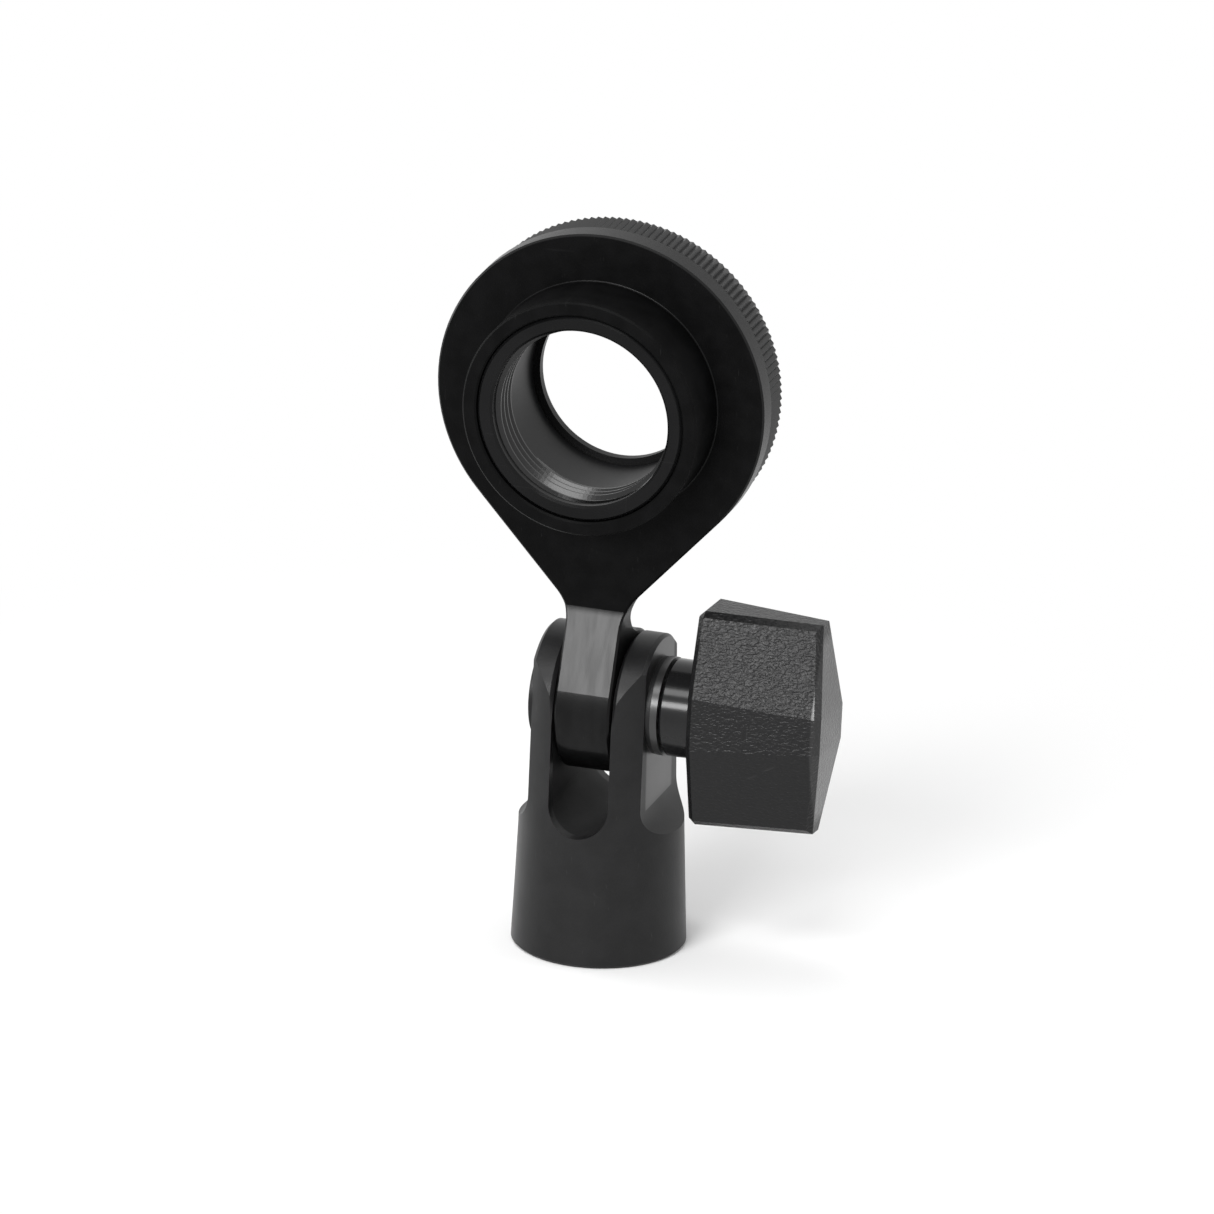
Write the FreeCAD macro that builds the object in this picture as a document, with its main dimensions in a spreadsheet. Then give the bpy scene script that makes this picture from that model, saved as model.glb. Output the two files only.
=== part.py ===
import FreeCAD, Part
import math
import os

import Sketcher

# Swivel mount that screws on a stand and holds a microphone by a threaded ring.
# Frame: origin at the centre of the base's flat underside, +Z up, +X along the
# clamp axis towards the knob, and the ring's open front looks along -Y.

os.makedirs("parts", exist_ok=True)
doc = FreeCAD.newDocument("microphone_stand_mount")

SIZES = [
    ("base_bottom_radius", 12.5, "turned base at its underside"),
    ("base_tip_radius", 10.7, "same cone at the top of the ears"),
    ("base_edge_bevel", 0.4, "bevel of the lower outer edge"),
    ("pivot_height", 36.7, "clamp axis above the underside"),
    ("ear_round_radius", 10.2, "ears' round tops, about the clamp axis"),
    ("ear_half_width", 8.4, "half the width across the ears' outer flats"),
    ("ear_edge_bevel", 0.5, "bevel of the ears' curved outer edges"),
    ("scoop_radius", 5.0, "concave end of each outer flat"),
    ("scoop_drop", 13.4, "centre of that concave end below the clamp axis"),
    ("slot_half_width", 4.45, "half the gap between the ears"),
    ("slot_reach", 17.5, "lowest line of the slot's round floor below the clamp axis"),
    ("ear_boss_radius", 7.0, "raised round seat on each ear"),
    ("ear_boss_rise", 0.65, "how far that seat stands proud"),
    ("insert_radius", 10.0, "brass insert's outside"),
    ("insert_web", 5.1, "metal between the brass insert and the slot's floor"),
    ("insert_recess", 0.1, "insert's end above the underside"),
    ("insert_groove", 0.5, "depth of the insert's holding groove"),
    ("stand_thread_radius", 7.94, "5/8 inch stand thread"),
    ("thread_mouth", 0.5, "countersink at the thread's mouth"),
    ("stud_radius", 3.0, "clamp stud"),
    ("stud_clearance", 0.08, "radial, stud in ears, eye and nut"),
    ("nut_half_flats", 5.0, "half the nut's width across flats"),
    ("nut_thickness", 3.2, "captive hexagon nut"),
    ("nut_bevel", 0.4, "bevel on the nut's outer corners"),
    ("liner_margin", 1.4, "friction washers' edge inside the eye's"),
    ("liner_thickness", 0.25, "friction washers"),
    ("liner_gap", 0.1, "each friction washer to the eye"),
    ("eye_radius", 10.4, "head's pivot eye"),
    ("arm_length", 46.9, "clamp axis to ring centre"),
    ("plate_radius", 24.3, "round part of the plate"),
    ("plate_thickness", 3.65, "plate"),
    ("plate_front", 5.2, "plate's front face ahead of the clamp axis"),
    ("taper_apex", 10.7, "where the plate's sides would meet above the clamp axis"),
    ("neck_round", 7.0, "concave curve from the plate's sides into the neck"),
    ("neck_front_height", 15.2, "top of the neck's flat front above the axis"),
    ("neck_rear_height", 14.8, "top of the neck's rear curve above the axis"),
    ("head_edge_bevel", 0.3, "bevel of the plate's and neck's edges"),
    ("collar_wall", 2.05, "wall of the raised round collar on the plate's front"),
    ("collar_rise", 9.4, "how far that collar stands proud"),
    ("collar_bevel", 0.25, "bevel of the collar's two front edges"),
    ("ring_bore_radius", 13.0, "microphone thread"),
    ("ring_wall", 1.35, "threaded ring's sleeve"),
    ("ring_clearance", 0.08, "radial, sleeve in the plate's bore"),
    ("lip_height", 1.0, "stop lip at the ring's rear"),
    ("lip_thickness", 1.25, "stop lip"),
    ("flange_radius", 23.8, "knurled flange over its teeth"),
    ("flange_width", 5.95, "knurled flange along the ring's axis"),
    ("flange_bevel", 0.5, "bevel at the flange's two edges"),
    ("knurl_depth", 0.42, "straight knurl"),
    ("knurl_count", 144, "teeth round the flange"),
    ("slide_washer_radius", 23.1, "washer between plate and flange"),
    ("slide_washer_thickness", 0.5, "same washer"),
    ("slide_gap", 0.05, "washer to flange"),
    ("keeper_wall", 0.8, "retaining ring's wall round the sleeve's front"),
    ("keeper_fit", 0.03, "radial, that ring on the sleeve"),
    ("keeper_clearance", 0.15, "retaining ring in the collar"),
    ("keeper_length", 5.0, "retaining ring"),
    ("keeper_lip", 1.1, "its front lip, which covers the sleeve's end"),
    ("keeper_recess", 0.2, "its front face behind the collar's"),
    ("keeper_gap", 0.1, "its rear face to its shoulder"),
    ("keeper_bevel", 0.35, "its front edges"),
    ("washer_radius", 7.1, "pressure washer under the knob"),
    ("washer_thickness", 1.0, "pressure washer"),
    ("washer_gap", 0.05, "pressure washer to the ear's seat"),
    ("hub_radius", 7.0, "knob's round hub"),
    ("hub_length", 4.3, "knob's round hub"),
    ("hub_gap", 0.25, "hub to pressure washer"),
    ("hub_bevel", 0.35, "hub's free edge"),
    ("knob_length", 17.7, "knob's body along its edges"),
    ("knob_ridge", 1.5, "ridge on the knob's outer end"),
    ("knob_turn_deg", 4.6, "how far the knob is turned from upright"),
    ("knob_inner_height", 15.8, "knob's half height at its inner end"),
    ("knob_inner_waist", 3.9, "half height of its middle face there"),
    ("knob_inner_tip", 4.3, "half depth at its tips there"),
    ("knob_inner_depth", 7.8, "half depth at its middle there"),
    ("knob_outer_height", 15.4, "the first three at its outer end"),
    ("knob_outer_waist", 2.6, "half height of its middle face there"),
    ("knob_outer_tip", 1.9, "half depth at its tips there"),
    ("knob_edge_bevel", 0.8, "bevel of the knob's ends and tips"),
    ("stud_head_radius", 4.6, "stud's moulded-in head"),
    ("stud_head_length", 5.0, "stud's moulded-in head"),
    ("stud_head_depth", 5.0, "head's start behind the knob's inner face"),
]

sheet = doc.addObject("Spreadsheet::Sheet", "Sizes")
for row, (alias, value, note) in enumerate(SIZES, 1):
    sheet.set("A%d" % row, alias)
    sheet.set("B%d" % row, str(value))
    sheet.set("C%d" % row, note)
    sheet.setAlias("B%d" % row, alias)
doc.recompute()
ALIASES = sorted((alias for alias, value, note in SIZES), key=len, reverse=True)


def bind(formula):
    """Write a formula of plain size names as one that reads the sheet."""
    words = []
    word = ""
    for letter in formula + " ":
        if letter.isalnum() or letter in "_.":
            word += letter
            continue
        words.append("Sizes." + word if word in ALIASES else word)
        words.append(letter)
        word = ""
    return "".join(words).strip()


def number(formula):
    """Value of a formula of size names."""
    return float(sheet.evalExpression(bind(formula)))


def origin_plane(body, role):
    """One of the body's own origin planes."""
    return next(item for item in body.Origin.OriginFeatures if item.Role == role)


def new_body(name, x="0", y="0", z="0"):
    """Body with its label and its bound place."""
    body = doc.addObject("PartDesign::Body", name)
    body.Label = name
    for axis, formula in (("x", x), ("y", y), ("z", z)):
        if formula != "0":
            body.setExpression("Placement.Base." + axis, bind(formula))
    doc.recompute()
    return body


def new_sketch(body, name, role, offset="0"):
    """Sketch on one of the body's origin planes, moved along that plane's normal."""
    sketch = body.newObject("Sketcher::SketchObject", name)
    sketch.AttachmentSupport = [(origin_plane(body, role), "")]
    sketch.MapMode = "FlatFace"
    if offset != "0":
        sketch.setExpression("AttachmentOffset.Base.z", bind(offset))
    return sketch


def fix_point(sketch, item, end, x, y):
    """Bind both coordinates of one end of a curve."""
    for kind, formula in (("DistanceX", x), ("DistanceY", y)):
        value = number(formula)
        index = sketch.addConstraint(Sketcher.Constraint(kind, -1, 1, item, end, value))
        sketch.setExpression("Constraints[%d]" % index, bind(formula))


def arc_through(start, end, radius, bulge):
    """Arc of a radius between two points; bulge 1 keeps its centre left of the way, -1 right."""
    sx, sy = start
    ex, ey = end
    dx, dy = ex - sx, ey - sy
    chord = math.hypot(dx, dy)
    rise = math.sqrt(max(radius * radius - chord * chord / 4, 0))
    cx = (sx + ex) / 2 - bulge * dy / chord * rise
    cy = (sy + ey) / 2 + bulge * dx / chord * rise
    first = math.atan2(sy - cy, sx - cx)
    last = math.atan2(ey - cy, ex - cx)
    if bulge < 0:
        first, last = last, first
    circle = Part.Circle(FreeCAD.Vector(cx, cy, 0), FreeCAD.Vector(0, 0, 1), radius)
    return Part.ArcOfCircle(circle, first, last)


def draw_outline(sketch, steps):
    """Closed outline: each step is (x, y) for a line or (x, y, radius, bulge) for an arc to there."""
    spots = [(number(step[0]), number(step[1])) for step in steps]
    ends = []
    for index, step in enumerate(steps):
        start, end = spots[index - 1], spots[index]
        if len(step) == 2:
            line = Part.LineSegment(FreeCAD.Vector(*start, 0), FreeCAD.Vector(*end, 0))
            ends.append((sketch.addGeometry(line, False), 1, 2))
        else:
            arc = arc_through(start, end, number(step[2]), step[3])
            item = sketch.addGeometry(arc, False)
            ends.append((item, 1, 2) if step[3] > 0 else (item, 2, 1))
    for index, step in enumerate(steps):
        item, first, last = ends[index]
        following, following_first = ends[(index + 1) % len(ends)][:2]
        sketch.addConstraint(Sketcher.Constraint("Coincident", item, last, following, following_first))
        fix_point(sketch, item, last, step[0], step[1])
        if len(step) == 4:
            index_radius = sketch.addConstraint(Sketcher.Constraint("Radius", item, number(step[2])))
            sketch.setExpression("Constraints[%d]" % index_radius, bind(step[2]))


def draw_circle(sketch, x, y, radius):
    """Circle with bound centre and radius."""
    centre = FreeCAD.Vector(number(x), number(y), 0)
    item = sketch.addGeometry(Part.Circle(centre, FreeCAD.Vector(0, 0, 1), number(radius)), False)
    fix_point(sketch, item, 3, x, y)
    index = sketch.addConstraint(Sketcher.Constraint("Radius", item, number(radius)))
    sketch.setExpression("Constraints[%d]" % index, bind(radius))


def settle(body, feature, before=None):
    """Recompute, make the feature the tip and check that it changed the solid's volume."""
    body.Tip = feature
    doc.recompute()
    volume = body.Shape.Volume
    if before is not None and abs(volume - before) < 1e-6:
        raise RuntimeError("%s changed nothing" % feature.Name)
    return volume


def revolve(body, name, role, steps, axis, seam_deg=0):
    """Solid turned about one of its sketch's axes, with its seam turned about the upright one."""
    sketch = new_sketch(body, name + "_section", role)
    sketch.AttachmentOffset = FreeCAD.Placement(
        FreeCAD.Vector(), FreeCAD.Rotation(FreeCAD.Vector(0, 1, 0), seam_deg))
    draw_outline(sketch, steps)
    turned = body.newObject("PartDesign::Revolution", name)
    turned.Profile = sketch
    turned.ReferenceAxis = (sketch, [axis])
    turned.Angle = 360
    settle(body, turned)
    return turned


def pad(body, name, sketch, length, midplane=False, reverse=False):
    """Pad of a bound length."""
    feature = body.newObject("PartDesign::Pad", name)
    feature.Profile = sketch
    feature.setExpression("Length", bind(length))
    feature.SideType = "Symmetric" if midplane else "One side"
    feature.Reversed = reverse
    settle(body, feature)
    return feature


def pocket(body, name, sketch, length, midplane=False, reverse=False):
    """Pocket of a bound depth, checked to cut something."""
    before = body.Shape.Volume
    feature = body.newObject("PartDesign::Pocket", name)
    feature.Profile = sketch
    feature.setExpression("Length", bind(length))
    feature.SideType = "Symmetric" if midplane else "One side"
    feature.Reversed = reverse
    if settle(body, feature, before) > before:
        raise RuntimeError("%s added material" % name)
    return feature


def edges_where(body, test):
    """Names of the tip's edges whose middle and shape pass a test, in the body's own frame."""
    shape = body.Tip.Shape
    names = []
    for index, edge in enumerate(shape.Edges, 1):
        middle = edge.valueAt((edge.FirstParameter + edge.LastParameter) / 2)
        if test(edge, middle):
            names.append("Edge%d" % index)
    return names


def soften(body, name, kind, size, test):
    """Fillet or chamfer on the edges that pass a test."""
    names = edges_where(body, test)
    if not names:
        raise RuntimeError("%s found no edges" % name)
    base = body.Tip
    before = body.Shape.Volume
    feature = body.newObject("PartDesign::" + kind, name)
    feature.Base = (base, names)
    feature.setExpression("Radius" if kind == "Fillet" else "Size", bind(size))
    settle(body, feature, before)
    return feature


CONE_SEAM_DEG = 30
SLOT_FLOOR = "(pivot_height - slot_reach)"
SLOT_CENTRE = "(" + SLOT_FLOOR + " + slot_half_width)"
SCOOP_CENTRE = "(pivot_height - scoop_drop)"
INSERT_LENGTH = "(" + SLOT_FLOOR + " - insert_web - insert_recess)"
LINER_RADIUS = "(eye_radius - liner_margin)"


def make_swivel_base():
    """Tapered cup with two ears, a slot between them and a seat for the thread insert."""
    body = new_body("swivel_base")
    top = "pivot_height + ear_round_radius"
    clear = "base_bottom_radius + 5"
    revolve(body, "cone", "XZ_Plane", [
        ("0", "0"),
        ("base_bottom_radius - base_edge_bevel", "0"),
        ("base_bottom_radius", "base_edge_bevel"),
        ("base_tip_radius", top),
        ("0", top),
    ], "V_Axis", CONE_SEAM_DEG)
    flat = new_sketch(body, "flat_outline", "XZ_Plane")
    draw_outline(flat, [
        ("ear_half_width", top + " + 1"),
        ("ear_half_width", SCOOP_CENTRE),
        ("ear_half_width + scoop_radius", SCOOP_CENTRE + " - scoop_radius", "scoop_radius", 1),
        (clear, SCOOP_CENTRE + " - scoop_radius"),
        (clear, top + " + 1"),
    ])
    flats = pocket(body, "right_flat", flat, "4 * base_bottom_radius", midplane=True)
    before = body.Shape.Volume
    mirror = body.newObject("PartDesign::Mirrored", "both_flats")
    mirror.Originals = [flats]
    mirror.MirrorPlane = (origin_plane(body, "YZ_Plane"), [""])
    settle(body, mirror, before)
    seat = new_sketch(body, "seat_outline", "YZ_Plane")
    draw_circle(seat, "0", "pivot_height", "ear_boss_radius")
    pad(body, "seats", seat, "2 * (ear_half_width + ear_boss_rise)", midplane=True)
    floor = new_sketch(body, "slot_floor_outline", "XZ_Plane")
    draw_circle(floor, "0", SLOT_CENTRE, "slot_half_width")
    pocket(body, "slot_floor", floor, "4 * base_bottom_radius", midplane=True)
    slot = new_sketch(body, "slot_outline", "XZ_Plane")
    draw_outline(slot, [
        ("-slot_half_width", top + " + 5"),
        ("-slot_half_width", SLOT_CENTRE),
        ("slot_half_width", SLOT_CENTRE),
        ("slot_half_width", top + " + 5"),
    ])
    pocket(body, "slot", slot, "4 * base_bottom_radius", midplane=True)
    crown = new_sketch(body, "crown_outline", "YZ_Plane")
    draw_outline(crown, [
        ("-(" + clear + ")", "pivot_height"),
        ("-ear_round_radius", "pivot_height"),
        ("0", top, "ear_round_radius", -1),
        ("ear_round_radius", "pivot_height", "ear_round_radius", -1),
        (clear, "pivot_height"),
        (clear, top + " + 5"),
        ("-(" + clear + ")", top + " + 5"),
    ])
    pocket(body, "crown", crown, "4 * base_bottom_radius", midplane=True)
    bore = new_sketch(body, "stud_bore_outline", "YZ_Plane")
    draw_circle(bore, "0", "pivot_height", "stud_radius + stud_clearance")
    pocket(body, "stud_bore", bore, "4 * base_bottom_radius", midplane=True)
    recess = new_sketch(body, "nut_recess_outline", "YZ_Plane", "-(ear_half_width + ear_boss_rise)")
    draw_hexagon(recess, "pivot_height")
    pocket(body, "nut_recess", recess, "nut_thickness", reverse=True)
    well = new_sketch(body, "insert_well_outline", "XY_Plane")
    draw_circle(well, "0", "0", "insert_radius")
    pocket(body, "insert_well", well, "insert_recess + " + INSERT_LENGTH, reverse=True)
    half_width = number("ear_half_width")
    half_slot = number("slot_half_width")
    for name, side in (("outer_bevels", half_width), ("right_inner_bevel", half_slot),
                       ("left_inner_bevel", -half_slot)):
        soften(body, name, "Chamfer", "ear_edge_bevel",
               lambda edge, middle: is_ear_edge(middle, side, side == half_width))
    return body


def is_ear_edge(middle, side, both_sides):
    """Curved edges of the ears' round tops on one of the ears' upright faces, or on both outer ones."""
    across = abs(middle.x) if both_sides else middle.x
    high = middle.z > number("pivot_height") + 0.5 * number("ear_round_radius")
    return abs(across - side) < 1e-4 and high


def draw_hexagon(sketch, height):
    """Hexagon of the nut with its corners up and down."""
    corner = "nut_half_flats / sqrt(0.75)"
    draw_outline(sketch, [
        ("0", height + " + " + corner),
        ("nut_half_flats", height + " + 0.5 * " + corner),
        ("nut_half_flats", height + " - 0.5 * " + corner),
        ("0", height + " - " + corner),
        ("-nut_half_flats", height + " - 0.5 * " + corner),
        ("-nut_half_flats", height + " + 0.5 * " + corner),
    ])


def make_stand_thread_insert():
    """Brass bush with a holding groove and a countersunk mouth."""
    body = new_body("stand_thread_insert", z="insert_recess")
    revolve(body, "bush", "XZ_Plane", [
        ("stand_thread_radius + thread_mouth", "0"),
        ("insert_radius", "0"),
        ("insert_radius", "0.4 * " + INSERT_LENGTH),
        ("insert_radius - insert_groove", "0.45 * " + INSERT_LENGTH),
        ("insert_radius - insert_groove", "0.6 * " + INSERT_LENGTH),
        ("insert_radius", "0.65 * " + INSERT_LENGTH),
        ("insert_radius", INSERT_LENGTH),
        ("stand_thread_radius", INSERT_LENGTH),
        ("stand_thread_radius", "thread_mouth"),
    ], "V_Axis")
    return body


def make_clamp_nut():
    """Captive hexagon nut with bevelled corners."""
    body = new_body("clamp_nut", x="-(ear_half_width + ear_boss_rise)", z="pivot_height")
    outline = new_sketch(body, "hexagon", "YZ_Plane")
    draw_hexagon(outline, "0")
    pad(body, "block", outline, "nut_thickness")
    corner = "nut_half_flats / sqrt(0.75)"
    bevel = new_sketch(body, "bevel_section", "XZ_Plane")
    draw_outline(bevel, [
        ("0", corner + " - nut_bevel"),
        ("nut_bevel", corner + " + 0.001"),
        ("0", corner + " + 0.001"),
    ])
    before = body.Shape.Volume
    groove = body.newObject("PartDesign::Groove", "corner_bevel")
    groove.Profile = bevel
    groove.ReferenceAxis = (bevel, ["H_Axis"])
    groove.Angle = 360
    settle(body, groove, before)
    hole = new_sketch(body, "thread_outline", "YZ_Plane")
    draw_circle(hole, "0", "0", "stud_radius + stud_clearance")
    pocket(body, "thread_hole", hole, "4 * nut_thickness", midplane=True)
    return body


def make_ring_washer(name, inner, outer, start, thickness):
    """Flat washer about the clamp axis, from a distance along it."""
    body = new_body(name, x=start, z="pivot_height")
    revolve(body, "disc", "XZ_Plane", [
        ("0", inner),
        (thickness, inner),
        (thickness, outer),
        ("0", outer),
    ], "H_Axis")
    return body


KEEPER_RADIUS = "(ring_bore_radius + ring_wall + keeper_fit + keeper_wall)"
KEEPER_SEAT = "(" + KEEPER_RADIUS + " + keeper_clearance)"


def make_holder_head():
    """Flat teardrop plate with a raised collar, a neck that curves forward and a pivot eye."""
    body = new_body("holder_head", z="pivot_height")
    half = "(slot_half_width - liner_thickness - liner_gap)"
    top = "arm_length + plate_radius"
    rear = "(plate_front - plate_thickness)"
    # the neck's flat front leaves the plate at a fixed height and touches the eye's round
    reach_square = "(plate_front^2 + neck_front_height^2)"
    grip = "(eye_radius / " + reach_square + ")"
    ramp = "sqrt(" + reach_square + " - eye_radius^2)"
    touch_y = "-" + grip + " * (plate_front * eye_radius + neck_front_height * " + ramp + ")"
    touch_up = grip + " * (neck_front_height * eye_radius - plate_front * " + ramp + ")"
    rear_round = "((" + rear + "^2 + neck_rear_height^2 - eye_radius^2) / (2 * (eye_radius + " + rear + ")))"
    rear_share = "eye_radius / (eye_radius + " + rear_round + ")"
    side = new_sketch(body, "side_outline", "YZ_Plane")
    draw_outline(side, [
        ("-plate_front", top + " + 2"),
        ("-plate_front", "neck_front_height"),
        (touch_y, touch_up),
        ("0", "-eye_radius", "eye_radius", 1),
        ("(" + rear_round + " - " + rear + ") * " + rear_share,
         "neck_rear_height * " + rear_share, "eye_radius", 1),
        ("-" + rear, "neck_rear_height", rear_round, -1),
        ("-" + rear, top + " + 2"),
    ])
    pad(body, "side_form", side, "2 * plate_radius + 4", midplane=True)
    share = "(plate_radius / (arm_length - taper_apex))"
    slope = "sqrt(1 - " + share + "^2)"
    touch_x = "plate_radius * " + slope
    touch_z = "arm_length - plate_radius * " + share
    tangent = "(" + share + " / " + slope + ")"
    # the side line leaves the apex at an angle whose tangent is `tangent`, and the neck curve
    # touches it and the neck's upright side at the same distance from their corner
    corner_z = "(taper_apex + " + half + " / " + tangent + ")"
    reach = "(neck_round * (1 - " + slope + ") / " + share + ")"
    low_z = corner_z + " - " + reach
    high_x = half + " + " + reach + " * " + share
    high_z = corner_z + " + " + reach + " * " + slope
    outside = "plate_radius + 10"
    trim = new_sketch(body, "front_outline", "XZ_Plane")
    draw_outline(trim, [
        ("-(" + outside + ")", "-eye_radius - 10"),
        (outside, "-eye_radius - 10"),
        (outside, top + " + 10"),
        ("-(" + outside + ")", top + " + 10"),
    ])
    draw_outline(trim, [
        ("-" + half, "-eye_radius - 5"),
        (half, "-eye_radius - 5"),
        (half, low_z),
        (high_x, high_z, "neck_round", -1),
        (touch_x, touch_z),
        ("0", top, "plate_radius", 1),
        ("-" + touch_x, touch_z, "plate_radius", 1),
        ("-(" + high_x + ")", high_z),
        ("-" + half, low_z, "neck_round", -1),
    ])
    pocket(body, "front_form", trim, "4 * eye_radius + 40", midplane=True)
    soften(body, "edge_bevels", "Chamfer", "head_edge_bevel", is_outline_edge)
    collar = new_sketch(body, "collar_outline", "XZ_Plane", "plate_front")
    draw_circle(collar, "0", "arm_length", KEEPER_SEAT + " + collar_wall")
    pad(body, "collar", collar, "collar_rise")
    bore = new_sketch(body, "ring_bore_outline", "XZ_Plane")
    draw_circle(bore, "0", "arm_length", "ring_bore_radius + ring_wall + ring_clearance")
    pocket(body, "ring_bore", bore, "4 * (plate_front + collar_rise)", midplane=True)
    seat = new_sketch(body, "keeper_seat_outline", "XZ_Plane", "plate_front + collar_rise")
    draw_circle(seat, "0", "arm_length", KEEPER_SEAT)
    pocket(body, "keeper_seat", seat, "keeper_recess + keeper_length + keeper_gap")
    collar_face = -number("plate_front + collar_rise")
    soften(body, "collar_edges", "Chamfer", "collar_bevel",
           lambda edge, middle: abs(middle.y - collar_face) < 1e-4)
    eye = new_sketch(body, "eye_bore_outline", "YZ_Plane")
    draw_circle(eye, "0", "0", "stud_radius + stud_clearance")
    pocket(body, "eye_bore", eye, "4 * slot_half_width", midplane=True)
    return body


def is_outline_edge(edge, middle):
    """Edges of the plate's outline and of the neck and eye, front and rear."""
    faces_side = abs(middle.x) > 1e-3
    return faces_side and edge.Length > 1.0 and not (abs(middle.z + number("eye_radius")) < 1e-4)


def ring_body(name):
    """Body whose own origin is the ring's centre at the clamp axis's depth."""
    return new_body(name, z="pivot_height + arm_length")


REAR = "(plate_front - plate_thickness)"
FLANGE_FACE = "(slide_washer_thickness + slide_gap - " + REAR + ")"


def make_threaded_ring():
    """Turned sleeve with a stop lip and a flange whose rim has a straight knurl."""
    body = ring_body("threaded_ring")
    rear = "(" + FLANGE_FACE + " + flange_width)"
    front = "-(plate_front + collar_rise - keeper_recess - keeper_lip)"
    sleeve = "(ring_bore_radius + ring_wall)"
    revolve(body, "turned_form", "YZ_Plane", [
        (front, "ring_bore_radius"),
        (rear + " - lip_thickness", "ring_bore_radius"),
        (rear + " - lip_thickness", "ring_bore_radius - lip_height"),
        (rear, "ring_bore_radius - lip_height"),
        (rear, "flange_radius - flange_bevel"),
        (rear + " - flange_bevel", "flange_radius"),
        (FLANGE_FACE + " + flange_bevel", "flange_radius"),
        (FLANGE_FACE, "flange_radius - flange_bevel"),
        (FLANGE_FACE, sleeve),
        (front, sleeve),
    ], "H_Axis")
    cut_knurl(body)
    return body


def cut_knurl(body):
    """Straight knurl: one pocket whose outline is a ring of V-shaped teeth."""
    count = int(number("knurl_count"))
    outer = number("flange_radius")
    inner = outer - number("knurl_depth")
    margin = outer + number("slide_washer_thickness")
    sketch = new_sketch(body, "knurl_outline", "XZ_Plane")
    corners = []
    for tooth in range(count):
        for share, radius in ((0.0, outer), (0.5, inner)):
            angle = 2 * math.pi * (tooth + share) / count
            corners.append(FreeCAD.Vector(radius * math.sin(angle), radius * math.cos(angle), 0))
    for index, corner in enumerate(corners):
        sketch.addGeometry(Part.LineSegment(corners[index - 1], corner), False)
    sketch.addGeometry(Part.Circle(FreeCAD.Vector(0, 0, 0), FreeCAD.Vector(0, 0, 1), margin), False)
    pocket(body, "knurl", sketch, "4 * (flange_width + plate_front + collar_rise)", midplane=True)


def make_retaining_ring():
    """Ring screwed on the sleeve's front end, with a lip that covers it."""
    body = ring_body("retaining_ring")
    front = "-(plate_front + collar_rise - keeper_recess)"
    inner = "(ring_bore_radius + ring_wall + keeper_fit)"
    revolve(body, "turned_form", "YZ_Plane", [
        (front, "ring_bore_radius + keeper_bevel"),
        (front, KEEPER_RADIUS + " - keeper_bevel"),
        (front + " + keeper_bevel", KEEPER_RADIUS),
        (front + " + keeper_length", KEEPER_RADIUS),
        (front + " + keeper_length", inner),
        (front + " + keeper_lip", inner),
        (front + " + keeper_lip", "ring_bore_radius"),
        (front + " + keeper_bevel", "ring_bore_radius"),
    ], "H_Axis")
    return body


def make_slide_washer():
    """Thin flat washer on the plate's rear face, under the knurled flange."""
    body = ring_body("slide_washer")
    inner = "(ring_bore_radius + ring_wall + ring_clearance)"
    revolve(body, "disc", "YZ_Plane", [
        ("-" + REAR, inner),
        ("-" + REAR, "slide_washer_radius"),
        ("slide_washer_thickness - " + REAR, "slide_washer_radius"),
        ("slide_washer_thickness - " + REAR, inner),
    ], "H_Axis")
    return body


SEAT_FACE = "(ear_half_width + ear_boss_rise)"
HUB_START = "(" + SEAT_FACE + " + washer_gap + washer_thickness + hub_gap)"
KNOB_START = "(" + HUB_START + " + hub_length)"
KNOB_END = "(" + KNOB_START + " + knob_length)"


def make_clamp_stud():
    """Threaded stud whose head is moulded in the knob."""
    body = new_body("clamp_stud", z="pivot_height")
    head = "(" + KNOB_START + " + stud_head_depth)"
    revolve(body, "turned_form", "XZ_Plane", [
        ("-" + SEAT_FACE + " + nut_bevel", "0"),
        (head + " + stud_head_length", "0"),
        (head + " + stud_head_length", "stud_head_radius"),
        (head, "stud_head_radius"),
        (head, "stud_radius"),
        ("-" + SEAT_FACE + " + 2 * nut_bevel", "stud_radius"),
        ("-" + SEAT_FACE + " + nut_bevel", "stud_radius - nut_bevel"),
    ], "H_Axis")
    return body


def knob_section(body, name, offset, height, waist, tip, depth):
    """Eight-sided outline of the knob at one place along its axis."""
    sketch = new_sketch(body, name, "YZ_Plane", offset)
    draw_outline(sketch, [
        ("-" + tip, height),
        ("-(" + depth + ")", waist),
        ("-(" + depth + ")", "-" + waist),
        ("-" + tip, "-" + height),
        (tip, "-" + height),
        (depth, "-" + waist),
        (depth, waist),
        (tip, height),
    ])
    return sketch


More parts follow.
